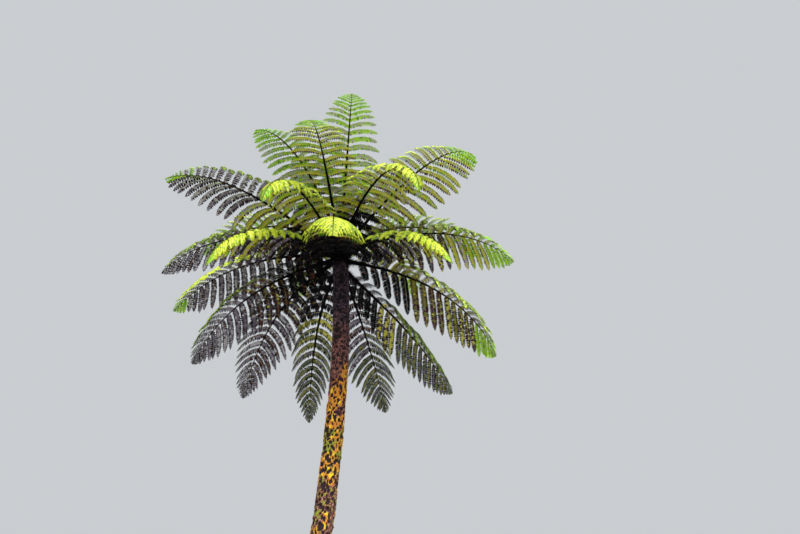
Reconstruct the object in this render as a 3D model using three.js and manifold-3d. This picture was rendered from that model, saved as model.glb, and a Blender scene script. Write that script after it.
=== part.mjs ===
// A tall tree fern: one slender trunk that leans a little, a scaly heart at its top, and a crown of
// long arching fronds. Each frond is a thin blade cut to the rib between its leaflets, and it is two
// pieces, split where it bends over. Lengths are in millimetres and angles in degrees. +Z is up, the
// origin is the middle of the flat cut under the trunk, and the photograph looks along +Y.
import * as THREE from "three";
import Module from "manifold-3d";

// Trunk
const HUB_HEIGHT = 9250; // middle of the zone that the fronds grow from
const TRUNK_TOP = 9450;
const TRUNK_LEAN = 180; // how far the hub stands to +X of the foot
const TRUNK_BOW = 200;
const BOW_SKEW = 1.6; // above 1 the bow is widest in the upper half
const TOP_RADIUS = 144;
const FOOT_RADIUS = 182;
const TAPER_POWER = 2.5;
const FLARE = 130; // extra radius of the root flare at the ground
const FLARE_HEIGHT = 650;
const SWELL = 34; // extra radius where the frond bases crowd the trunk
const SWELL_HEIGHT = 260;
const TRUNK_SIDES = 18;
const TRUNK_RINGS = 26;
const RING_CROWDING = 1.35; // above 1 the rings stand closer together near the ground

// Heart: the rounded, scaly growing tip on top of the trunk
const HEART_HEIGHT = 170;
const HEART_RINGS = 5;
const CLEARANCE = 0.4; // gap between pieces that meet

// Fronds
const STALK_SPREAD = 6.5; // a frond starts this much higher for each degree that it rises more steeply
const LEVEL_RISE = 30; // a frond with this rise starts at the hub's height
const BEND_POWER = 1.8; // above 1 a frond bends more towards its tip
const CURVE_STEPS = 60;
const STALK_HALF_WIDTH = 34;
const TIP_HALF_WIDTH = 5;
const STALK_TAPER = 1.1;
const STALK_FLATNESS = 0.85;
const BARE_SHARE = 0.12; // the stalk has no leaflets along this share of the frond
const LAST_SHARE = 0.985;
const PAIRS = 18; // leaflet pairs of one frond
const PAIRS_BEFORE_SPLIT = 8;
const PAIR_CROWDING = 1.42; // above 1 the pairs stand closer together near the tip
const FIRST_REACH = 0.45; // length of the first leaflets, as a share of the longest
const GROWING_SHARE = 0.31; // leaflets lengthen along this share of the frond
const SHORTENING_POWER = 4; // the higher, the later they shorten towards the tip
const LEAFLET_THICKNESS = 8;
const LEAFLET_STEPS = 10;
const WIDEST_SHARE = 0.6; // where along its length a leaflet is widest
const ROOT_WIDTH = 0.5; // widths as shares of the distance between two pairs
const BLADE_WIDTH = 0.75;
const LEAFLET_ANGLE = 78; // between a level rib and its leaflets; where the rib falls, they lean on
const ANGLE_GAIN = 0.15; // for each degree of the rib's slope
const TIP_SWEEP = 34; // the leaflets at the tip lean on by this much more
const SWEEP_POWER = 4;
const RISE_GAIN = 0.3; // for each degree of a falling rib's slope
const HANG_POWER = 0.85; // a shorter leaflet bends less
const STEEPEST = 86;
const TEST_MARGIN = 3; // room that is kept round a leaflet when it is tested against other fronds

// One row for each frond. azimuth turns from +X towards +Y, rise is its slope where it leaves the
// trunk, bend is how far it has turned down at the tip, swing is how far it turns sideways. Its
// longest leaflets are reach long, leave a level rib rising by lift and bend down by hang.
const FRONDS = [
  { azimuth: 277, rise: 54, bend: 98, length: 3200, swing: 0, reach: 700, lift: 20, hang: 76 },
  { azimuth: 261, rise: 31, bend: 84, length: 3200, swing: 9, reach: 720, lift: 22, hang: 76 },
  { azimuth: 248, rise: 37, bend: 90, length: 3100, swing: -4, reach: 700, lift: 12, hang: 76 },
  { azimuth: 217, rise: 14, bend: 67, length: 3650, swing: 22, reach: 940, lift: 38, hang: 124 },
  { azimuth: 250, rise: 12, bend: 100, length: 3350, swing: 5, reach: 700, lift: 7, hang: 86 },
  { azimuth: 269, rise: -10, bend: 63, length: 3250, swing: 12, reach: 780, lift: 8, hang: 76 },
  { azimuth: 316, rise: 23, bend: 80, length: 3750, swing: -14, reach: 900, lift: 18, hang: 76 },
  { azimuth: 290, rise: 22, bend: 114, length: 3550, swing: 22, reach: 760, lift: 12, hang: 82 },
  { azimuth: 348, rise: 16, bend: 70, length: 3350, swing: 11, reach: 940, lift: 10, hang: 82 },
  { azimuth: 312, rise: -8, bend: 67, length: 3400, swing: 0, reach: 680, lift: 8, hang: 77 },
  { azimuth: 227, rise: -6, bend: 78, length: 3350, swing: 8, reach: 700, lift: 7, hang: 77 },
  { azimuth: 201, rise: 8, bend: 73, length: 3300, swing: -16, reach: 760, lift: 20, hang: 104 },
  { azimuth: 171, rise: 9, bend: 61, length: 3450, swing: -10, reach: 880, lift: 6, hang: 84 },
  { azimuth: 161, rise: -3, bend: 68, length: 3550, swing: -11, reach: 900, lift: 13, hang: 84 },
  { azimuth: 140, rise: -3, bend: 62, length: 3850, swing: -25, reach: 860, lift: 12, hang: 76 },
  { azimuth: 114, rise: -12, bend: 46, length: 3800, swing: -22, reach: 760, lift: 12, hang: 88 },
  { azimuth: 78, rise: -13, bend: 36, length: 3600, swing: -5, reach: 840, lift: 1, hang: 64 },
  { azimuth: 24, rise: -35, bend: 24, length: 3000, swing: 1, reach: 840, lift: 12, hang: 80 },
  { azimuth: 2, rise: -10, bend: 64, length: 3460, swing: 15, reach: 1000, lift: 15, hang: 80 },
  { azimuth: 20, rise: 42, bend: 96, length: 3300, swing: -6, reach: 700, lift: 20, hang: 76 },
  { azimuth: 56, rise: 46, bend: 100, length: 3300, swing: 6, reach: 700, lift: 20, hang: 76 },
  { azimuth: 118, rise: 46, bend: 98, length: 3300, swing: -6, reach: 700, lift: 20, hang: 76 },
  { azimuth: 164, rise: 40, bend: 96, length: 3300, swing: 6, reach: 700, lift: 20, hang: 76 },
];

const BARK = new THREE.MeshStandardMaterial({ color: 0x4a3328, roughness: 0.95, metalness: 0 });
const SCALES = new THREE.MeshStandardMaterial({ color: 0x1c1310, roughness: 0.9, metalness: 0 });
const LEAF = new THREE.MeshStandardMaterial({ color: 0x7d9a2c, roughness: 0.6, metalness: 0 });

const UP = new THREE.Vector3(0, 0, 1);
const wasm = await Module();
wasm.setup();

function lerp(a, b, t) {
  return a + (b - a) * t;
}

// The trunk's centre line and radius at a height
function trunkCentre(z) {
  const share = z / HUB_HEIGHT;
  const bow = TRUNK_BOW * Math.sin(Math.PI * Math.min(1, share) ** BOW_SKEW);
  return new THREE.Vector3(TRUNK_LEAN * share + bow, 0, z);
}

function trunkRadius(z) {
  const share = Math.max(0, 1 - z / HUB_HEIGHT);
  const flare = FLARE * Math.exp(-z / FLARE_HEIGHT);
  const swell = SWELL * Math.exp(-(((z - HUB_HEIGHT) / SWELL_HEIGHT) ** 2));
  return lerp(TOP_RADIUS, FOOT_RADIUS, share ** TAPER_POWER) + flare + swell;
}

function geometryOf(points, triangles) {
  const positions = new Float32Array(points.flatMap((p) => [p.x, p.y, p.z]));
  const geometry = new THREE.BufferGeometry();
  geometry.setAttribute("position", new THREE.BufferAttribute(positions, 3));
  geometry.setIndex(triangles);
  return geometry;
}

function solidOf(points, triangles) {
  const vertProperties = new Float32Array(points.flatMap((p) => [p.x, p.y, p.z]));
  return new wasm.Manifold(
    new wasm.Mesh({ numProp: 3, vertProperties, triVerts: new Uint32Array(triangles) }),
  );
}

function geometryOfSolid(solid) {
  const mesh = solid.getMesh();
  const points = [];
  for (let i = 0; i < mesh.numVert; i++) {
    points.push(new THREE.Vector3().fromArray(mesh.vertProperties, i * mesh.numProp));
  }
  return geometryOf(points, Array.from(mesh.triVerts));
}

// A closed solid of level round rings, each { centre, radius }
function stackRings(rings, sides) {
  const points = [];
  const triangles = [];
  for (const { centre, radius } of rings) {
    for (let i = 0; i < sides; i++) {
      const turn = (2 * Math.PI * i) / sides;
      points.push(
        new THREE.Vector3(radius * Math.cos(turn), radius * Math.sin(turn), 0).add(centre),
      );
    }
  }
  for (let ring = 0; ring + 1 < rings.length; ring++) {
    for (let i = 0; i < sides; i++) {
      const a = ring * sides + i;
      const b = ring * sides + ((i + 1) % sides);
      triangles.push(a, b, b + sides, a, b + sides, a + sides);
    }
  }
  const last = (rings.length - 1) * sides;
  for (let i = 1; i + 1 < sides; i++) {
    triangles.push(0, i + 1, i);
    triangles.push(last, last + i, last + i + 1);
  }
  return { points, triangles };
}

// The trunk, with its radius grown by a margin where another piece is cut clear of it
function trunkShape(margin) {
  const rings = [];
  for (let i = 0; i <= TRUNK_RINGS; i++) {
    const z = TRUNK_TOP * (i / TRUNK_RINGS) ** RING_CROWDING;
    rings.push({ centre: trunkCentre(z), radius: trunkRadius(z) + margin });
  }
  return stackRings(rings, TRUNK_SIDES);
}

// The heart, a dome that stands on the trunk, grown by the same kind of margin
function heartShape(margin) {
  const rings = [];
  for (let i = 0; i <= HEART_RINGS; i++) {
    const turn = (Math.PI / 2) * (i / (HEART_RINGS + 1));
    const centre = trunkCentre(TRUNK_TOP);
    centre.z += CLEARANCE + HEART_HEIGHT * Math.sin(turn) + (i > 0 ? margin : -margin);
    rings.push({ centre, radius: trunkRadius(TRUNK_TOP) * Math.cos(turn) + margin });
  }
  return stackRings(rings, TRUNK_SIDES);
}

// The rib of a frond: points from inside the trunk to the tip
function ribOf(frond) {
  const start = trunkCentre(HUB_HEIGHT + STALK_SPREAD * (frond.rise - LEVEL_RISE));
  const points = [start];
  for (let i = 0; i < CURVE_STEPS; i++) {
    const share = (i + 0.5) / CURVE_STEPS;
    const slope = THREE.MathUtils.degToRad(frond.rise - frond.bend * share ** BEND_POWER);
    const heading = THREE.MathUtils.degToRad(frond.azimuth + frond.swing * share);
    const step = new THREE.Vector3(
      Math.cos(slope) * Math.cos(heading),
      Math.cos(slope) * Math.sin(heading),
      Math.sin(slope),
    ).multiplyScalar((frond.length + trunkRadius(start.z)) / CURVE_STEPS);
    points.push(points.at(-1).clone().add(step));
  }
  return new THREE.CatmullRomCurve3(points);
}

// Place, direction, sideways and upward vectors of the rib at a share of its length
function ribFrame(rib, share) {
  const place = rib.getPoint(share);
  const along = rib.getTangent(share);
  const side = new THREE.Vector3().crossVectors(along, UP).normalize();
  const up = new THREE.Vector3().crossVectors(side, along);
  return { place, along, side, up };
}

function ribHalfWidth(share) {
  return lerp(TIP_HALF_WIDTH, STALK_HALF_WIDTH, (1 - share) ** STALK_TAPER);
}

// The four corners of the rib: left top, left bottom, right bottom, right top, seen from the tip
function ribCorners(rib, share, margin = 0) {
  const { place, side, up } = ribFrame(rib, share);
  const wide = ribHalfWidth(share) + margin;
  const high = ribHalfWidth(share) * STALK_FLATNESS + margin;
  const corner = (s, u) =>
    place.clone().addScaledVector(side, s * wide).addScaledVector(up, u * high);
  return [corner(1, 1), corner(1, -1), corner(-1, -1), corner(-1, 1)];
}

// Where pair number k grows, as a share of the frond's length
function pairShare(k) {
  const grown = 1 - (1 - k / (PAIRS - 1)) ** PAIR_CROWDING;
  return lerp(BARE_SHARE, LAST_SHARE, grown);
}

function pairSpacing(k) {
  return k + 1 < PAIRS ? pairShare(k + 1) - pairShare(k) : pairSpacing(k - 1);
}

// Length of a leaflet as a share of the longest
function leafletReach(share) {
  const grown = THREE.MathUtils.clamp((share - BARE_SHARE) / GROWING_SHARE, 0, 1);
  return (1 - share ** SHORTENING_POWER) * lerp(FIRST_REACH, 1, grown);
}

// The corners of a leaflet's widest section, in the order of its root's corners, and its tip
function leafletPoints(frond, rib, k, hand, margin) {
  const { degToRad, radToDeg } = THREE.MathUtils;
  const share = pairShare(k);
  const { place, along, side } = ribFrame(rib, share);
  const slope = radToDeg(Math.asin(along.z));
  const sweep = TIP_SWEEP * share ** SWEEP_POWER;
  const angle = degToRad(LEAFLET_ANGLE + ANGLE_GAIN * slope - sweep);
  const outward = along
    .clone()
    .multiplyScalar(Math.cos(angle))
    .addScaledVector(side, hand * Math.sin(angle));
  const level = new THREE.Vector3(outward.x, outward.y, 0).normalize();
  const portion = leafletReach(share);
  const step = (frond.reach * portion) / LEAFLET_STEPS;
  const rise = frond.lift + radToDeg(Math.asin(outward.z)) + RISE_GAIN * Math.min(slope, 0);
  const bend = frond.hang * portion ** HANG_POWER;
  const line = [place];
  for (let i = 0; i < LEAFLET_STEPS; i++) {
    const fall = degToRad(Math.max(rise - (bend * (i + 0.5)) / LEAFLET_STEPS, -STEEPEST));
    const way = level.clone().multiplyScalar(Math.cos(fall)).addScaledVector(UP, Math.sin(fall));
    line.push(line.at(-1).clone().addScaledVector(way, step));
  }
  const widest = Math.round(WIDEST_SHARE * LEAFLET_STEPS);
  const way = line[widest + 1].clone().sub(line[widest - 1]).normalize();
  const across = along.clone().addScaledVector(way, -along.dot(way)).normalize();
  const normal = new THREE.Vector3().crossVectors(across, way).multiplyScalar(-hand);
  const half = (BLADE_WIDTH * pairSpacing(k) * frond.length * Math.sin(angle)) / 2 + margin;
  const thick = LEAFLET_THICKNESS / 2 + margin;
  const corner = (w, u) =>
    line[widest].clone().addScaledVector(across, w * half).addScaledVector(normal, u * thick);
  const corners =
    hand > 0
      ? [corner(-1, 1), corner(-1, -1), corner(1, -1), corner(1, 1)]
      : [corner(-1, -1), corner(-1, 1), corner(1, 1), corner(1, -1)];
  return { corners, tip: line.at(-1) };
}

// Joins a four-cornered root to a leaflet's widest section and that to its tip
function leafletFaces(root, widest, tip) {
  const triangles = [];
  for (let i = 0; i < 4; i++) {
    const j = (i + 1) % 4;
    triangles.push(root[i], root[j], widest[j], root[i], widest[j], widest[i]);
    triangles.push(widest[i], widest[j], tip);
  }
  return triangles;
}

function pairEnds(k) {
  const half = (ROOT_WIDTH * pairSpacing(k)) / 2;
  return [pairShare(k) - half, pairShare(k) + half];
}

// One leaflet as a solid of its own, for testing whether it would touch another frond
function leafletSolid(frond, rib, k, hand) {
  const [from, to] = pairEnds(k);
  const near = ribCorners(rib, from);
  const far = ribCorners(rib, to);
  const root = hand > 0 ? [near[0], near[1], far[1], far[0]] : [near[2], near[3], far[3], far[2]];
  const { corners, tip } = leafletPoints(frond, rib, k, hand, TEST_MARGIN);
  const points = [...root, ...corners, tip];
  const triangles = [...leafletFaces([0, 1, 2, 3], [4, 5, 6, 7], 8), 0, 2, 1, 0, 3, 2];
  return solidOf(points, triangles);
}

// A stretch of a frond between two shares of its length, with the leaflets that keeps() allows
function bladeShape(frond, rib, from, to, firstPair, lastPair, keeps, margin = 0) {
  const shares = [from];
  const leafletAt = new Map(); // the stretch after this station carries this pair
  for (let k = firstPair; k <= lastPair; k++) {
    leafletAt.set(shares.length, k);
    shares.push(...pairEnds(k));
  }
  shares.push(to);
  const points = shares.flatMap((share) => ribCorners(rib, share, margin));
  const triangles = [0, 2, 1, 0, 3, 2];
  for (let station = 0; station + 1 < shares.length; station++) {
    const near = station * 4;
    const far = near + 4;
    for (let i = 0; i < 4; i++) {
      const j = (i + 1) % 4;
      const root = [near + i, near + j, far + j, far + i];
      const hand = i === 0 ? 1 : -1;
      const k = leafletAt.get(station);
      const leafy = i % 2 === 0 && k !== undefined && keeps(k, hand);
      if (!leafy) {
        triangles.push(root[0], root[1], root[2], root[0], root[2], root[3]);
        continue;
      }
      const { corners, tip } = leafletPoints(frond, rib, k, hand, 0);
      const first = points.length;
      points.push(...corners, tip);
      triangles.push(...leafletFaces(root, [first, first + 1, first + 2, first + 3], first + 4));
    }
  }
  const last = (shares.length - 1) * 4;
  triangles.push(last, last + 1, last + 2, last, last + 2, last + 3);
  return { points, triangles };
}

// A frond's stalk without its leaflets, grown by a margin
function stalkSolid(frond, rib, margin) {
  const bare = bladeShape(frond, rib, 0, LAST_SHARE, 0, PAIRS - 1, () => false, margin);
  return solidOf(bare.points, bare.triangles);
}

function touch(a, b) {
  return [0, 1, 2].every((i) => a.min[i] <= b.max[i] && b.min[i] <= a.max[i]);
}

// Which leaflets keep clear of other fronds and of each other, as a set of "frond pair hand"
function clearLeaflets(ribs) {
  const stalks = FRONDS.map((frond, i) => stalkSolid(frond, ribs[i], TEST_MARGIN));
  const boxes = stalks.map((stalk) => stalk.boundingBox());
  const kept = new Set();
  const taken = [];
  FRONDS.forEach((frond, i) => {
    for (let k = 0; k < PAIRS; k++) {
      for (const hand of [1, -1]) {
        const solid = leafletSolid(frond, ribs[i], k, hand);
        const box = solid.boundingBox();
        const hits = (other, otherBox) =>
          touch(box, otherBox) && solid.intersect(other).volume() > 0;
        const blocked =
          stalks.some((stalk, n) => n !== i && hits(stalk, boxes[n])) ||
          taken.some((leaflet) => hits(leaflet.solid, leaflet.box));
        if (!blocked) {
          kept.add(`${i} ${k} ${hand}`);
          taken.push({ solid, box });
        }
      }
    }
  });
  return kept;
}

function addMesh(group, name, geometry, material) {
  const mesh = new THREE.Mesh(geometry, material);
  mesh.name = name;
  group.add(mesh);
}

function addTrunk(group) {
  const trunk = trunkShape(0);
  addMesh(group, "trunk", geometryOf(trunk.points, trunk.triangles), BARK);
  const heart = heartShape(0);
  addMesh(group, "crown_heart", geometryOf(heart.points, heart.triangles), SCALES);
}

// Each frond is a lower piece and an outer piece past the bend. The lower piece is cut clear of the
// trunk, of the heart and, where the stalks crowd together, of the stalks of the fronds before it.
function addFronds(group) {
  const ribs = FRONDS.map(ribOf);
  const kept = clearLeaflets(ribs);
  const socket = trunkShape(CLEARANCE);
  const crown = heartShape(CLEARANCE);
  const trunkSpace = solidOf(socket.points, socket.triangles).add(
    solidOf(crown.points, crown.triangles),
  );
  const stalks = FRONDS.map((frond, i) => stalkSolid(frond, ribs[i], CLEARANCE));
  FRONDS.forEach((frond, i) => {
    const number = String(i + 1).padStart(2, "0");
    const keeps = (k, hand) => kept.has(`${i} ${k} ${hand}`);
    const split = (pairEnds(PAIRS_BEFORE_SPLIT - 1)[1] + pairEnds(PAIRS_BEFORE_SPLIT)[0]) / 2;
    const gap = CLEARANCE / frond.length / 2;
    const rib = ribs[i];
    const lower = bladeShape(frond, rib, 0, split - gap, 0, PAIRS_BEFORE_SPLIT - 1, keeps);
    const whole = solidOf(lower.points, lower.triangles).subtract(trunkSpace);
    const box = whole.boundingBox();
    const cut = stalks
      .slice(0, i)
      .filter((stalk) => touch(box, stalk.boundingBox()))
      .reduce((solid, stalk) => solid.subtract(stalk), whole);
    addMesh(group, `frond_${number}_lower`, geometryOfSolid(cut), LEAF);
    const outer = bladeShape(frond, rib, split + gap, 1, PAIRS_BEFORE_SPLIT, PAIRS - 1, keeps);
    addMesh(group, `frond_${number}_outer`, geometryOf(outer.points, outer.triangles), LEAF);
  });
}

const fern = new THREE.Group();
addTrunk(fern);
addFronds(fern);

export default fern;
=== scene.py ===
# The looks of a tall tree fern, dressed over its frame: bark with leaf scars and lichen, black scaly
# stalks, and fronds carried out to their smallest leaflets. Lengths are in metres and angles in degrees.
# A frond bears leaflets in pairs along its rib, and a leaflet bears blades in two rows along its own rib.
import math
from collections import namedtuple

import bpy
import numpy as np
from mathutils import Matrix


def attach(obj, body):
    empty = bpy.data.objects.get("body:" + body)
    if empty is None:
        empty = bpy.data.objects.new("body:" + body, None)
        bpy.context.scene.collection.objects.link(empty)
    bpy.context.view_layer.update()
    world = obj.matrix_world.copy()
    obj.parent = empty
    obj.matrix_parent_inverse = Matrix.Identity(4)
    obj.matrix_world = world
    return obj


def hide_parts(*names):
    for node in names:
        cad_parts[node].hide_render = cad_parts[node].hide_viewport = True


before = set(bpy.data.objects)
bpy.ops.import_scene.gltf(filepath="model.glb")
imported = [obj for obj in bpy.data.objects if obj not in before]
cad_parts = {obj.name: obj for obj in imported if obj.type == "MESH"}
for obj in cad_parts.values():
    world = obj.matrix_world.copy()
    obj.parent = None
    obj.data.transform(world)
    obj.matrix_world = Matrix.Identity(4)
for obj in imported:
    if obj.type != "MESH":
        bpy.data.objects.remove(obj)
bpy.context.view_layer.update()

UP = np.array([0.0, 0.0, 1.0])
NEAR_ZERO = 1e-6 # keeps a direction from vanishing

# Camera, at eye height in front of the plant
CAMERA_PLACE = (1.338, -9.254, 1.6)
CAMERA_PITCH = 38
CAMERA_LENS = 28
SENSOR_WIDTH = 36

# Studio
FLOOR_HALF = 80
FLOOR_COLOUR = (158, 159, 156)
FLOOR_ROUGHNESS = 0.9
SKY_COLOUR = (236, 240, 244)
SKY_STRENGTH = 0.7
KEY_STRENGTH = 4.0
KEY_ANGLE = 8
KEY_TURN = (38, 0, 22)

# Trunk, as in the solid model
HUB_HEIGHT = 9.25
TRUNK_TOP = 9.45
TRUNK_LEAN = 0.18
TRUNK_BOW = 0.2
BOW_SKEW = 1.6
TOP_RADIUS = 0.144
FOOT_RADIUS = 0.182
TAPER_POWER = 2.5
FLARE = 0.13
FLARE_HEIGHT = 0.65
SWELL = 0.034
SWELL_HEIGHT = 0.26
HEART_HEIGHT = 0.17

# Relief of the bark. A place's distance from a scar is 0 at the scar's middle and 1 on its edge. A form
# given two values starts at the first and is full at the second.
BARK_SIDES = 120
BARK_STEPS = 780
SCAR_SEED = 11
SCAR_COLUMNS = 13
SPARE_ROWS = 4 # rows of scars past the trunk's top
NEAR_ROWS = (-1, 0, 1, 2) # the rows that a place's nearest scar can be in, counted from its own
ROW_RISE_FOOT = 0.074 # between rows of scars at the ground
ROW_RISE_LOSS = 0.0018 # rows stand this much closer together for each metre of height
ROW_TWIST = 0.04 # each row is turned by this share of a column
SCAR_WIDTH = 0.39 # half the scar's width, as a share of a column
SCAR_TALL = 0.56 # half the scar's height, as a share of a row's rise
SCAR_SHIFT = 0.2 # how far a scar strays sideways, as a share of a column
SCAR_LIFT = 0.26 # how far it strays up or down, as a share of a row's rise
SCAR_VARIATION = 0.3 # how much the scars vary in size
SCAR_POWER = 1.8 # of a scar's outline: 2 gives an oval and 1 a diamond
SCAR_WARP = 0.22 # how far the whole pattern sways, as a share of a column or a row
SCAR_DEPTH = 0.015
PIT_EDGE = (1.1, 0.6) # distances
RIM_HEIGHT = 0.006
RIM_DISTANCE = 1.12
RIM_WIDTH = 0.16
RIDGE_EDGE = (0.75, 1.05) # distances
FIBRE_RELIEF = 0.0025
LUMP_RELIEF = 0.004
MANTLE_EDGE = (2.2, 0.6) # heights: near the ground a mantle of fibres hides the scars
MANTLE_RELIEF = 0.016
MANTLE_FIBRES = 0.6
MANTLE_LUMPS = 0.5
# Waves of random direction added up: their turns round the trunk, and their radians for a metre of height
Ripples = namedtuple("Ripples", "seed count turns rises")
FIBRES = Ripples(5, 14, (14, 40), (0.5, 5))
LUMPS = Ripples(6, 12, (2, 9), (2, 12))
SWAY_UP = Ripples(12, 10, (2, 8), (6, 22))
SWAY_ROUND = Ripples(13, 10, (2, 8), (6, 22))

# Colour of the bark. Old bark is at the foot, young bark below the crown. An edge is the pair of values
# between which a pattern comes in.
BARK_COLOURS = {
    "base": (46, 28, 36),
    "old_dark": (78, 34, 36),
    "old_light": (142, 78, 70),
    "old_pit": (40, 17, 24),
    "old_fleck": (206, 152, 128),
    "young_dark": (26, 15, 25),
    "young_light": (66, 42, 60),
    "young_pit": (15, 8, 13),
    "young_fleck": (140, 112, 138),
    "moss_dark": (104, 124, 26),
    "moss_light": (176, 178, 40),
    "lichen_dark": (196, 98, 8),
    "lichen_light": (222, 160, 56),
    "lichen_gold": (246, 206, 44),
}
BARK_ROUGHNESS = 0.92
BARK_BUMP = (0.6, 0.01) # strength and distance
COARSE_NOISE = (5, 3) # scale and detail, for this and the next three
GOLD_NOISE = (11, 2)
MEDIUM_NOISE = (19, 4)
FINE_NOISE = (70, 5)
PATCH_EDGE = (0.4, 0.64)
FLECK_EDGE = (0.54, 0.62)
YOUNG_EDGE = (7.1, 8.6) # heights
YOUNG_SWAY = 1.2 # how far coarse noise moves those heights
GROWTH_GAIN = 0.6 # weight of the shares of moss and lichen beside the noise
MOSS_EDGE = (0.76, 0.9)
MOSS_TINT_EDGE = (0.42, 0.6)
LICHEN_EDGE = (0.76, 0.86)
LICHEN_TINT_EDGE = (0.4, 0.6)
LICHEN_RAISED_EDGE = (0.75, 1.05) # lichen keeps to the ridges, as medium noise allows
LICHEN_RAISED_GAIN = 0.8 # weight of that noise
GOLD_EDGE = (0.54, 0.62)
# Shares of lichen and moss up the trunk, as (height, share); the lichen reaches higher on the +X side
LICHEN_MIDDLE = 0.33
LICHEN_SLANT = -1.2
LICHEN = ((0, 0.25), (4.8, 0.35), (5.1, 0.55), (5.8, 0.6), (5.95, 0.85), (6.25, 0.8), (6.42, 0.5), (6.6, 0.3),
          (6.9, 0))
MOSS = ((0, 0.5), (2.5, 0.35), (4.9, 0.45), (5.2, 0.75), (5.45, 0.8), (5.6, 0.45), (5.8, 0.2), (6.6, 0))

# Fronds, as in the solid model
STALK_SPREAD = 0.0065
LEVEL_RISE = 30
BEND_POWER = 1.8
CURVE_STEPS = 60
BARE_SHARE = 0.12
LAST_SHARE = 0.99
FIRST_REACH = 0.45
GROWING_SHARE = 0.31
SHORTENING_POWER = 4
LEAFLET_ANGLE = 78 # where the rib is level; where it falls, a leaflet leans on
ANGLE_GAIN = 0.15 # for each degree of the rib's slope
TIP_SWEEP = 34 # the leaflets at the tip lean on by this much more
SWEEP_POWER = 4
RISE_GAIN = 0.3 # for each degree of a falling rib's slope
HANG_POWER = 0.85 # a shorter leaflet bends less
STEEPEST = 86

# Leaflets and stalks, finer than in the solid model
FROND_SEED = 100
PAIRS = 22
PAIR_CROWDING = 1.42
OUTERMOST = 0.998 # no leaflet grows further out than this share of the rib
LEAFLET_STEPS = 10
YOUNG_RISE = 35 # a frond that leaves the trunk rising this much is young, and a level one is old
YOUTH_POWER = 1.5
STALK_RADIUS = 0.036
STALK_TIP_RADIUS = 0.005
STALK_TAPER = 1.1
STALK_FLARE = 0.018
STALK_FLARE_SHARE = 0.1
STALK_SIDES = 8
LEAFLET_RIB_RADIUS = 0.0065
LEAFLET_RIB_TIP = 0.002
LEAFLET_RIB_SIDES = 3

# Blades
BLADE_SPACING = 0.042
FEWEST_BLADES = 4 # in a row
BLADE_START = 0.55 # how far along a leaflet its first blades are, in distances between two blades
BLADE_STAGGER = 0.2 # one row stands further out by this much, and the other further in
BLADE_REACH = 0.6 # length of a blade, as a share of the distance between two leaflets
YOUNG_BLADE_LOSS = 0.13 # a young frond's blades are this much shorter
FIRST_BLADE = 0.75 # the first blade on a leaflet, as a share of the longest
FIRST_BLADES_SHARE = 0.12 # of the leaflet, on which they grow to full length
BLADE_TAPER_POWER = 6
BLADE_TAPER_ROUNDNESS = 0.6
TIP_FULLNESS = 0.5 # the blades at a frond's tip are this much longer
FULLNESS_POWER = 6
BLADE_ANGLE = 76
BLADE_ANGLE_LOSS = 14
BLADE_DROOP = 66 # a blade bends down by this much, so that a leaflet's section is an arch
BLADE_THICKNESS = 0.0022
BLADE_STATIONS = (0.0, 0.36, 0.74)
BLADE_WIDTHS = (0.4, 0.49, 0.36) # half widths, as shares of the distance between two blades

# Standard deviations, in degrees for an angle or a lift, and otherwise as shares
PLACE_SPREAD = 0.03 # of the distance between two leaflets
ANGLE_SPREAD = 1.2
REACH_SPREAD = 0.03
LIFT_SPREAD = 1.6
HANG_SPREAD = 0.03
BLADE_ANGLE_SPREAD = 3
BLADE_LENGTH_SPREAD = 0.05
BLADE_DROOP_SPREAD = 0.08
OUTER_SPREAD = 0.05
SHADED_SPREAD = 0.04
TIP_SPREAD = 0.03

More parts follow.
